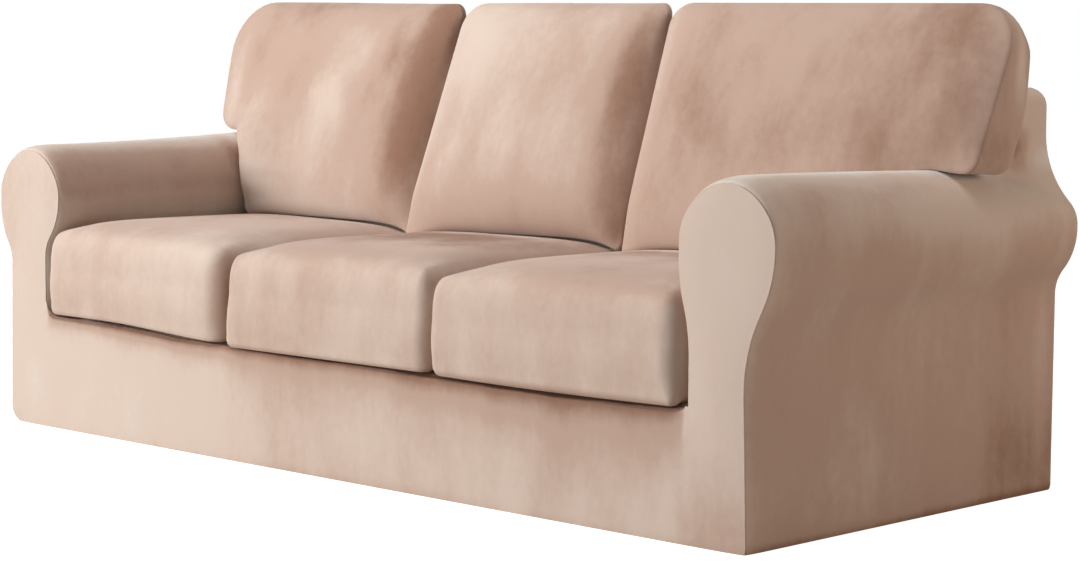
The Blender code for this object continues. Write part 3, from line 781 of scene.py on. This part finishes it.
def add_seat_cover(name):
    """Crowned top panel and boxing with its elastic edge turned under."""
    left, right = seat_sides(name)
    seat = SEATS[name]
    high_radii = np.array(seat["radii"])
    low_radii = np.array(seat.get("low_radii", high_radii))

    def ring(z, inset, face_z, bulge=0):
        rear = seat_rear_y(face_z)
        radii = between((low_radii, high_radii), ease(face_z, DECK_Z, DECK_Z + 0.06))
        corners = (
            (left, SEAT_FRONT_Y - bulge, radii[0]),
            (right, SEAT_FRONT_Y - bulge, radii[1]),
            (right, rear, SEAT_REAR_RADIUS),
            (left, rear, SEAT_REAR_RADIUS),
        )
        loop = rounded_loop(corners, SEAT_EDGE_STEPS, SEAT_ARC_STEPS, inset)
        return np.insert(loop, 2, z, axis=1)

    def lifted(row, weight=1):
        lift = seat_lift(row[:, 0], name) + fillet(row[:, 0] - left, SEAT_CORNER_RADIUS)
        on_deck = row[:, 1] > FRONT_Y + RAIL_RECESS
        row[:, 2] += weight * np.where(on_deck, np.maximum(lift, GAP), lift)
        return row

    rows = [lifted(ring(DECK_Z + 0.0008, 0.06, DECK_Z), 0.3)]
    rows.append(lifted(ring(DECK_Z + 0.0004, 0.04, DECK_Z), 0.7))
    rows.append(lifted(ring(DECK_Z + 0.0004, seat["lip"] * SEAT_LIP[0][1] + 0.006, DECK_Z)))
    for rise, inset in SEAT_LIP:
        z = DECK_Z + seat["lip"] * rise
        rows.append(lifted(ring(z, seat["lip"] * inset, z)))
    for share in np.linspace(0, 1, 16):
        z = between((DECK_Z + SEAT_LIP_TOP, SEAT_ROLL_Z), share)
        row = lifted(ring(z, 0, z, 0.003 * sin(pi * share)), 1 - share)
        row[:, 2] += crest_rise(row[:, 0], name) * share
        rows.append(row)
    slope = seat_fall(SEAT_ROLL_INSET) / SEAT_REACH
    edge_z = SEAT_CREST_Z - seat_fall(SEAT_ROLL_INSET)
    pull_x = SEAT_ROLL_INSET * 0.28
    pull = (pull_x, edge_z - (SEAT_ROLL_INSET - pull_x) * slope)
    roll = ((0, SEAT_ROLL_Z), (0, SEAT_ROLL_Z + 0.07), pull, (SEAT_ROLL_INSET, edge_z))
    for inset, z in bezier(roll, 22)[1:]:
        row = ring(z, inset, z)
        crest = crest_rise(row[:, 0], name)
        straight = SEAT_CREST_Z - seat_fall(inset)
        corner = seat_height(row[:, 0], row[:, 1], name) - crest - straight
        row[:, 2] += corner * (inset / SEAT_ROLL_INSET) + crest
        rows.append(row)
    top_rows = [ring(0, inset, SEAT_SEAM_Z) for inset in (0.062, 0.07, 0.08, 0.092)]
    last = top_rows[-1]
    centre_x = (left + right) / 2
    centre_y = (SEAT_FRONT_Y + seat_rear_y(SEAT_SEAM_Z)) / 2
    centre = np.array([centre_x, centre_y, 0])
    top_rows += [between((centre, last), share) for share in np.linspace(1, 0, 30)[1:-1]]
    for row in top_rows:
        row[:, 2] = seat_height(row[:, 0], row[:, 1], name)
    grid = np.array(rows + top_rows)
    above_boxing = ease(grid[..., 2], DECK_Z, SEAT_ROLL_Z)
    grid[..., 0] += seat["lean"] * above_boxing * (1 - seat_share(grid[..., 0], name)) ** 3
    middle = (centre_x, centre_y, seat_height(centre_x, centre_y, name))
    inside = (centre_x, centre_y, 0.33)
    painted_light_and_nap = painted_strokes(f"seat_{name}")
    cloth = add_cloth(f"seat_cover_{name}", [grid], inside, VELVET, painted_light_and_nap, middle)
    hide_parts(f"seat_top_{name}", f"seat_band_{name}")


BACK_THICKNESS = 0.12
BACK_REAR_ROLL = 0.02
MOST_DROOP = 0.03  # how far a foot sinks at most, and how high up it still shows
DROOP_REACH = 0.07
SIDE_TAPER = 0.05
TOP_TAPER = 0.045
BACK_BOTTOM_Z = 0.451
# Corners (x, z, radius) of the seam, anticlockwise from in front. A pair holds the value at the
# lowest x and at the highest x.
BACKS = {
    "left": {
        "corners": (
            (-0.3115, 0.9278, 0.04), (-1.094, 0.9335, 0.102), (-1.03, 0.6335, 0.06),
            (-0.8655, 0.6335, 0.111), (-0.8655, BACK_BOTTOM_Z, 0.03),
            (-0.328, BACK_BOTTOM_Z, 0.012),
        ),
        "steps": (70, 18, 10, 8, 46, 40), "bulge": 0.048, "reach": (0.06, 0.085),
        "roll": (0.016, 0.05), "roll_reach": (0.008, 0.05), "taper": (0, 0.55),
    },
    "middle": {
        "corners": (
            (-0.32, BACK_BOTTOM_Z, 0.01), (0.293, BACK_BOTTOM_Z, 0.022), (0.2805, 0.9228, 0.03),
            (-0.3085, 0.9223, 0.055), (-0.3155, 0.6, 0.5),
        ),
        "steps": (56, 44, 56, 30, 14), "bulge": 0.048, "reach": (0.06, 0.085),
        "roll": (0.018, 0.05), "roll_reach": (0.008, 0.05), "taper": (0, 0.5),
    },
    "right": {
        "corners": (
            (0.303, BACK_BOTTOM_Z, 0.01), (0.8825, BACK_BOTTOM_Z, 0.03), (0.8825, 0.6098, 0.1065),
            (1.0885, 0.6098, 0.024), (1.11, 0.906, 0.088), (0.2835, 0.9174, 0.046),
            (0.2965, 0.56, 0.5),
        ),
        "steps": (46, 8, 12, 16, 70, 30, 10), "bulge": 0.036, "reach": (0.05, 0.055),
        "roll": (0.016, 0.005), "roll_reach": (0.008, 0.002), "taper": (0, 0),
    },
}
# How far the left cushion spills forward over the arm at a height, ahead of its seam's plane
SPILL_X = -0.8655
SPILL_REACH = 0.085
SPILL = (
    (0.44, 0.483, 0.514, 0.552, 0.597, 0.6155, 0.63, 0.66, 0.7),
    (-0.002, 0.009, 0.031, 0.047, 0.047, 0.049, 0.044, 0.022, 0),
)
SPILL_DEPTH = 0.09  # it fades out towards this depth behind the seam
EAR_X = (0.99, 1.06)  # where the right cushion's ear starts to lie lower, and where it does fully
EAR_Z = (0.61, 0.7)  # and the heights over which that fades out
EAR_DROP = (0.005, 0.01)  # how much lower the right cushion's ear lies, in front and behind
BACK_INSETS = np.linspace(0, 0.066, 23)  # outlines are worked out at these
PANEL_INSETS = (0, 0.0004, 0.0012, 0.0025, 0.0045, 0.007, 0.01, 0.014, 0.019, 0.025, 0.032)
CELL = 0.005  # of the raster that the swelling is worked out on


def inside_outline(points, outline):
    """Which points lie inside a closed outline."""
    x, z = points.T
    inside = np.zeros(len(points), dtype=bool)
    for start, end in zip(outline, np.roll(outline, -1, axis=0)):
        rise = end[1] - start[1]
        if rise:
            crossing = start[0] + (z - start[1]) / rise * (end[0] - start[0])
            inside ^= ((start[1] > z) != (end[1] > z)) & (x < crossing)
    return inside


def nearest_distance(points, outline):
    """Distance from each point to a closed outline."""
    ahead = np.roll(outline, -1, axis=0) - outline
    ahead_squared = np.maximum(np.sum(ahead * ahead, axis=1), 1e-12)
    distance = np.empty(len(points))
    for start in range(0, len(points), 4000):
        offset = points[start : start + 4000, None, :] - outline[None, :, :]
        share = np.clip(np.sum(offset * ahead, axis=2) / ahead_squared, 0, 1)
        gaps = np.linalg.norm(offset - share[:, :, None] * ahead, axis=2)
        distance[start : start + 4000] = gaps.min(axis=1)
    return distance


def swelling(outline, reaches, points):
    """How far a stuffed panel swells, from 0 at its outline to 1, without ridges at corners.

    It is a membrane on springs: near a straight edge it rises as 1 - exp(-distance / reach).
    reaches holds the reach at the lowest x and at the highest x.
    """
    low = outline.min(axis=0) - 2 * CELL
    counts = np.ceil((outline.max(axis=0) + 2 * CELL - low) / CELL).astype(int)
    xs = low[0] + CELL * np.arange(counts[0])
    zs = low[1] + CELL * np.arange(counts[1])
    raster = np.stack(np.meshgrid(xs, zs, indexing="ij"), -1).reshape(-1, 2)
    distance = nearest_distance(raster, outline)
    inside = inside_outline(raster, outline)
    ends = (outline[:, 0].min(), outline[:, 0].max())
    reach = between(reaches, ease(raster[:, 0], *ends))
    height = np.where(inside, 1 - np.exp(-distance / reach), 0).reshape(counts)
    free = (inside & (distance > 1.5 * CELL)).reshape(counts)[1:-1, 1:-1]
    pull = ((CELL / reach) ** 2).reshape(counts)[1:-1, 1:-1]
    for _ in range(500):
        around = height[:-2, 1:-1] + height[2:, 1:-1] + height[1:-1, :-2] + height[1:-1, 2:]
        relaxed = (around + pull) / (4 + pull)
        height[1:-1, 1:-1] = np.where(free, relaxed, height[1:-1, 1:-1])
    place = (points - low) / CELL
    corner = np.clip(np.floor(place).astype(int), 0, counts - 2)
    share = place - corner
    i, j = corner[:, 0], corner[:, 1]
    near = height[i, j] * (1 - share[:, 0]) + height[i + 1, j] * share[:, 0]
    far = height[i, j + 1] * (1 - share[:, 0]) + height[i + 1, j + 1] * share[:, 0]
    smooth = near * (1 - share[:, 1]) + far * share[:, 1]
    distance = nearest_distance(points, outline)
    exact = 1 - np.exp(-distance / between(reaches, ease(points[:, 0], *ends)))
    return smooth + (exact - smooth) * (1 - ease(distance, CELL, 2.5 * CELL))


def back_seam_y(z):
    """The leaning plane of the seam between a back cover's front and its boxing."""
    return BACK_FOOT_Y + BACK_LEAN * (z - DECK_Z) - BACK_THICKNESS


def droop(points):
    """How far the foot of a back cover sinks to lie on the seat covers."""
    x, y, z = np.moveaxis(points, -1, 0)
    seat = np.zeros(x.shape)
    for name in SEATS:
        left, right = seat_sides(name)
        within = (x >= left) & (x <= right)
        seat = np.maximum(seat, np.where(within, seat_height(x, y, name), 0))
    clearance = 0.0015 + 0.012 * ease(y, 0.07, 0.11)
    gap = np.clip(BACK_BOTTOM_Z - seat - clearance, 0, MOST_DROOP)
    return gap * (1 - ease(z, BACK_BOTTOM_Z, BACK_BOTTOM_Z + DROOP_REACH))


def tapered(points, depths, middle_x, tapers):
    """Outline points (x, z) at depths behind the seam, drawn in towards the rear of the top.

    tapers holds how much more the left and the right side come in for each metre of depth.
    """
    x, z = points.T
    depths = np.maximum(depths, 0)
    behind = (depths / BACK_THICKNESS) ** 2
    sideways = np.sign(x - middle_x)
    more = depths * np.where(sideways < 0, *tapers)
    drawn_x = x - SIDE_TAPER * behind * ease(z, 0.68, 0.91) * sideways
    drawn_x -= more * ease(z, 0.7, 0.92) * sideways
    return np.stack([drawn_x, z - TOP_TAPER * behind * ease(z, 0.8, 0.92)], 1)


def add_back_cover(name):
    """Crowned front panel and boxing with its elastic edge turned behind the cushion."""
    shape = BACKS[name]
    loops = (rounded_loop(shape["corners"], shape["steps"], 10, i) for i in BACK_INSETS)
    table = np.array(list(loops))

    def loop_at(insets):
        """The outline moved inwards by an amount for each of its points."""
        place = np.clip(np.broadcast_to(insets, table.shape[1]) / BACK_INSETS[1], 0, None)
        below = np.minimum(place.astype(int), len(BACK_INSETS) - 2)
        share = (place - below)[:, None]
        points = np.arange(table.shape[1])
        return table[below, points] * (1 - share) + table[below + 1, points] * share

    seam = table[0]
    ends = (seam[:, 0].min(), seam[:, 0].max())
    edge_depth = between(shape["roll"], ease(seam[:, 0], *ends))
    outlines = [loop_at(0.06), loop_at(0.035)]
    depths = [np.full(len(seam), BACK_THICKNESS - GAP)] * 2
    for angle in np.linspace(pi / 2, 0, 7):
        outlines.append(loop_at(0.018 * (1 - cos(angle))))
        depth = BACK_THICKNESS - GAP - BACK_REAR_ROLL * (1 - sin(angle))
        depths.append(np.full(len(seam), depth))
    for share in np.linspace(0, 1, 12)[1:-1]:
        outlines.append(seam)
        depths.append(between((BACK_THICKNESS - BACK_REAR_ROLL, edge_depth), share))

    front = [loop_at(inset) for inset in PANEL_INSETS]
    last = front[-1]
    centre = (last.min(axis=0) + last.max(axis=0)) / 2
    front += [between((centre, last), share) for share in np.linspace(1, 0, 34)[1:-1]]
    front.append(np.repeat(centre[None], len(last), 0))
    front = np.array(front)
    points = front.reshape(-1, 2)
    swell = swelling(seam, shape["reach"], points)
    roll = fillet(swelling(seam, shape["roll_reach"], points), 1)
    roll *= between(shape["roll"], ease(points[:, 0], *ends))
    front_depth = (roll - shape["bulge"] * swell).reshape(front.shape[:2])
    outlines += list(front[:-1])
    depths += list(front_depth[:-1])

    grid = []
    for outline, depth in zip(outlines, depths):
        outline = tapered(outline, depth, sum(ends) / 2, shape["taper"])
        x, z = outline.T
        if name == "left":
            ahead = np.interp(z, *SPILL) * np.exp(-(((x - SPILL_X) / SPILL_REACH) ** 2))
            depth = depth - ahead * np.clip(1 - depth / SPILL_DEPTH, 0, 1)
        if name == "right":
            behind = np.clip(depth / BACK_THICKNESS, 0, 1) ** 2
            z -= ease(x, *EAR_X) * (1 - ease(z, *EAR_Z)) * between(EAR_DROP, behind)
        grid.append(placed(outline, back_seam_y(outline[:, 1]) + depth))
    grid = np.array(grid)
    sunk = droop(grid)
    behind = (grid[..., 1] - back_seam_y(grid[..., 2])) / BACK_THICKNESS
    grid[..., 1] -= (BACK_LEAN * sunk + 0.001) * np.clip(behind, 0, 1) ** 2
    grid[..., 2] -= sunk
    middle = (centre[0], back_seam_y(centre[1]) + front_depth[-1, 0], centre[1])
    inside = (centre[0], back_seam_y(centre[1]) + 0.06, centre[1])
    painted_light_and_nap = painted_strokes(f"back_{name}")
    cloth = add_cloth(f"back_cover_{name}", [grid], inside, VELVET, painted_light_and_nap, middle)
    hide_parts(f"back_front_{name}", f"back_band_{name}")


# --- Painted light and shade, and the velvet's own marks ---

# For each piece its general level, then soft strokes: centre and reach along x, y and z in
# centimetres, and strength. Strokes below 0 paint shade and shadow, strokes above 0 paint light,
# mixed with lighter and darker marks of the velvet's own nap
PAINTED_LIGHT_AND_NAP = {
    # Left arm: painted light on the roll's top, on the inner side and along the front edge, and a
    # painted shadow where the left back cushion meets the roll
    "arm_left": (
        0,
        (-97.5, 0, 62.5, 10, 200, 3, 1.25), (-90, 5, 59, 12, 2.5, 7, -0.55),
        (-90, -10, 46, 10, 60, 5, 1.15), (-92, -43, 33, 5, 6, 12, 1),
        (-90, -45, 40, 15, 0.8, 40, 0.6),
    ),
    # Right arm: painted light on the roll's top, along the front edge and on the roll in the
    # shadow of the right cushion's ear, painted shadow in the corner under the ear, a painted
    # contact shadow along the hem, and lighter and darker patches on the outer side
    "arm_right": (
        0.08,
        (98.5, -5, 62.5, 10, 75, 3, 1.3), (106, 33, 57.5, 5, 10, 3, 0.45),
        (105, -20, 46, 10, 28, 12, 0.14), (105, 28, 17, 10, 6, 12, -0.12),
        (105, 41, 27, 10, 3, 20, 0.35), (100, 17, 60.5, 5, 9, 3, 1.2), (109, 5, 55, 6, 60, 6, 0.5),
        (105, -45.3, 35, 20, 0.5, 60, 0.7), (105, -45.5, 35, 20, 2.5, 60, 0.3),
        (105, 33, 40, 10, 10, 8, -0.15), (105, 42, 6, 10, 17, 12, -0.45),
        (105, -26, 8, 10, 28, 12, 0.22), (105, -6, 47, 10, 1.4, 6, -0.15),
        (105, 0, 0, 10, 100, 1.2, -0.55), (102, 40, 74, 5, 12, 13, 0.75),
        (103, 33.5, 63.8, 7, 5.5, 3.8, -1.6),
    ),
    # Front panel: painted light towards the left and on the arm faces, darker patches low across
    # the rail, and a painted contact shadow along the hem
    "front": (
        0.1,
        (-90, -45, 15, 45, 100, 45, 0.25), (-55, -45, 10, 30, 100, 14, 0.15),
        (97, -45, 50, 12, 100, 20, 0.12), (99, -45, 10, 10, 100, 15, 0.1),
        (0, -45, 15, 20, 100, 4.5, -0.1), (75, -45, 14, 22, 100, 7, -0.2),
        (46, -45, 16.5, 4, 100, 1.2, -0.15), (100, -45, 3, 12, 100, 7, -0.28),
        (0, -45, 0, 300, 100, 1, -0.15),
    ),
    # Seat covers: painted shade on the tops, on the right sides and where the crown rolls away
    # from the light, painted light on some corners and at the rear of the tops where the back
    # cushions shade them, and painted shade along the lowest edge
    "seat_left": (
        0.02,
        (-60, 0, 46, 40, 35, 3.5, -0.68), (-30, -25, 33, 2, 40, 10, -0.45),
        (-30.5, -43, 33, 3, 5, 12, -0.6), (-90, -45, 35, 3, 10, 12, 0.35),
        (-91, -46, 25, 3, 5, 2, 0.4),
    ),
    "seat_middle": (
        -0.03,
        (0, 0, 45, 40, 40, 3.5, -1), (2, 0, 44.7, 25, 5, 3, 0.5), (30, -25, 33, 2, 40, 10, -0.25),
        (0, -46, 22.9, 50, 100, 0.5, -0.4),
    ),
    "seat_right": (
        -0.09,
        (60, 0, 45, 40, 40, 3.5, -0.72), (91, -44, 33, 4, 6, 10, 0.6),
        (89.5, -43, 43.4, 2.5, 6, 1.2, -0.9), (88.5, -45.5, 42, 4.5, 4, 2.2, -0.5),
        (45, -1, 44.5, 12, 3, 2, 0.7), (75, -45.5, 42.4, 20, 2, 1.3, -0.45),
        (60, -46, 22.6, 40, 100, 0.8, -0.6),
    ),
    # Back covers: painted shade on the sides that turn away from the light and in the lower
    # corners, painted light along the left edges and low down where the neighbours and the arm
    # shade them, mixed with streaks of the nap
    "back_left": (
        -0.11,
        (-30.5, 10, 87, 2, 100, 8, 0.8), (-30.5, 10, 74, 2, 100, 7, 0.7),
        (-73, 10, 79, 6, 100, 9, -0.25), (-47, 10, 83, 3, 100, 5, -0.2),
        (-98, 10, 75, 4, 100, 10, 0.25), (-36, 10, 80, 7, 100, 24, -0.85),
        (-68, 10, 94, 30, 100, 6, -0.45), (-91, 10, 80, 8, 100, 13, -0.3),
        (-78, 10, 74, 6, 100, 20, -0.15), (-63, 10, 68, 5, 100, 16, 0.18),
        (-50, 10, 74, 5, 100, 20, -0.25), (-37.5, 10, 60, 5.5, 100, 13, -0.4),
        (-65, 10, 45, 30, 100, 4.5, 0.45), (-84, 10, 50, 6, 100, 7, 0.4),
    ),
    "back_middle": (
        -0.03,
        (-20, 10, 86, 14, 100, 16, 0.25), (23.5, 10, 76, 6, 100, 22, -0.75),
        (27, 10, 56, 4, 100, 12, -0.3), (5, 10, 49, 30, 100, 8, -0.35),
        (0, 10, 95, 40, 100, 3, -0.3), (-31.5, 10, 76, 2.5, 100, 25, 0.6),
        (28, 10, 46, 3, 100, 3, -0.4), (28.5, 10, 87, 2, 100, 8, 0.4),
    ),
    "back_right": (
        -0.34,
        (64, 10, 66, 10, 100, 6, -0.12), (86, 10, 86, 7, 100, 4, -0.15),
        (97, 10, 76, 3, 100, 5, 0.22), (110, 23.5, 80, 5, 3, 10, 0.45),
        (110, 17, 64, 5, 6, 5, -0.25), (100, 10, 78, 9, 100, 18, -0.6),
        (70, 10, 66, 30, 100, 10, -0.22), (30.5, 10, 72, 3, 100, 25, 0.35),
        (89, 10, 65.5, 2, 100, 3, -0.15),
    ),
}
# Painted shadow on the rail under the seat covers' overhanging edge. For places across the rail:
# how strongly, over which depth it fades, and how tall the deepest part is
PAINTED_SHADOW_UNDER_SEATS = (
    (-0.9, -0.7, -0.4, -0.2, 0, 0.17, 0.38, 0.6, 0.87, 0.905),
    (-1, -1.6, -1.5, -1.5, -1.5, -1.5, -1.7, -1.7, -1.5, -0.9),
    (0.014, 0.017, 0.022, 0.022, 0.028, 0.03, 0.038, 0.041, 0.041, 0.041),
    (0, 0.001, 0.004, 0.0085, 0.0095, 0.01, 0.013, 0.0145, 0.0095, 0.002),
)


def painted_strokes(key):
    """A piece's painted light and shade, with marks of its nap, as a function of its points."""
    general, *strokes = PAINTED_LIGHT_AND_NAP[key]
    return lambda points: general + strokes_at(points, strokes)


def front_painted_light_and_shadow(points):
    """The front panel's painted light and shade, with the painted shadow under the seat covers."""
    x, _, z = points.T
    top = DECK_Z + rail_lift(x)
    below = np.maximum(top - z, 0)
    on_rail = inside_rail(x, 0.012) * (z < top + 0.001)
    strength, reach, deepest = (np.interp(x, PAINTED_SHADOW_UNDER_SEATS[0], row) for row in PAINTED_SHADOW_UNDER_SEATS[1:])
    # A soft painted shadow fading down the rail below the seat covers, and a near-black painted
    # line in its top band
    soft = strength * np.exp(-below / reach)
    deep = 0.5 * (1 - ease(below, deepest - 0.004, deepest))
    return painted_strokes("front")(points) + (soft - deep) * on_rail


# --- Camera, light and floor ---


def put(obj, place, axes):
    """Put an object somewhere, with its x, y and z axes along the given ones."""
    matrix = Matrix(np.transpose(axes).tolist()).to_4x4()
    matrix.translation = place
    obj.matrix_world = matrix
    scene.collection.objects.link(obj)


def add_camera():
    azimuth, pitch, roll = np.radians((44.037, 5.127, 0.391)).tolist()
    forward = np.array([-sin(azimuth) * cos(pitch), cos(azimuth) * cos(pitch), -sin(pitch)])
    right = np.array([cos(azimuth), sin(azimuth), 0])
    up = np.cross(right, forward)
    across = right * cos(roll) + up * sin(roll)
    upright = -right * sin(roll) + up * cos(roll)
    data = bpy.data.cameras.new("camera")
    data.sensor_width = 36.0
    data.lens = 81.585
    data.clip_end = 100.0
    camera = bpy.data.objects.new("camera", data)
    put(camera, (3.5203, -3.5015, 0.7985), (across, upright, -forward))
    scene.camera = camera


def add_area_light(name, place, target, size, power, colour):
    """A rectangular light that shines from a place towards a target."""
    data = bpy.data.lights.new(name, "AREA")
    data.shape = "RECTANGLE"
    data.size, data.size_y = size
    data.energy = power
    data.color = colour
    light = bpy.data.objects.new(name, data)
    away = np.subtract(place, target)
    away /= np.linalg.norm(away)
    across = np.cross([0, 0, 1], away)
    across /= np.linalg.norm(across)
    put(light, place, (across, np.cross(away, across), away))
    light.visible_camera = False


def glow_for_camera(tree, socket, seen, lighting):
    """Give a socket one strength as the light others get, and seen more for the camera."""
    rays = tree.nodes.new("ShaderNodeLightPath")
    strength = tree.nodes.new("ShaderNodeMath")
    strength.operation = "MULTIPLY_ADD"
    set_inputs(strength, {1: seen, 2: lighting})
    tree.links.new(rays.outputs["Is Camera Ray"], strength.inputs[0])
    tree.links.new(strength.outputs["Value"], socket)


def make_floor_material():
    """Pale floor. Its own glow is for the eye only and lights nothing."""
    material = bpy.data.materials.new("floor")
    material.use_nodes = True
    shader = material.node_tree.nodes["Principled BSDF"]
    values = {"Roughness": 1, "Specular IOR Level": 0, "Emission Color": (1,) * 4}
    set_inputs(shader, {"Base Color": (0.52, 0.48, 0.44, 1), **values})
    glow_for_camera(material.node_tree, shader.inputs["Emission Strength"], 0.95, 0)
    return material


def add_floor():
    mesh = bpy.data.meshes.new("floor")
    half = 30.0
    corners = [(-half, -half, 0), (half, -half, 0), (half, half, 0), (-half, half, 0)]
    mesh.from_pydata(corners, [], [(0, 1, 2, 3)])
    mesh.materials.append(make_floor_material())
    floor = bpy.data.objects.new("floor", mesh)
    floor.location.z = CAD_BOX[0][2] - 0.0005
    scene.collection.objects.link(floor)


def add_world():
    """White to the eye, and a weak even fill for the rest."""
    world = bpy.data.worlds.new("studio")
    world.use_nodes = True
    background = world.node_tree.nodes["Background"]
    set_inputs(background, {"Color": (1,) * 4})
    glow_for_camera(world.node_tree, background.inputs["Strength"], 0.88, 0.12)
    scene.world = world


# --- Everything ---

for arm_name in ARMS:
    add_arm(arm_name)
add_front_panel()
add_deck()
add_inside_back()
add_outside_back()
for seat_name in SEATS:
    add_seat_cover(seat_name)
for back_name in BACKS:
    add_back_cover(back_name)

add_camera()
add_area_light("key", (-3.3, -5.8, 2.1), (0.1, -0.2, 0.45), (2.8, 2.4), 445.0, (0.975, 0.995, 1))
add_area_light("top", (-0.3, -0.9, 4.2), (0, 0, 0.5), (3.0, 2.5), 96.0, (1, 0.99, 0.98))
add_area_light("fill", (4.6, 2.4, 1.3), (1, 0.1, 0.4), (2.2, 2.0), 90.0, (1, 0.84, 0.71))
add_floor()
add_world()
scene.view_settings.view_transform = "Standard"
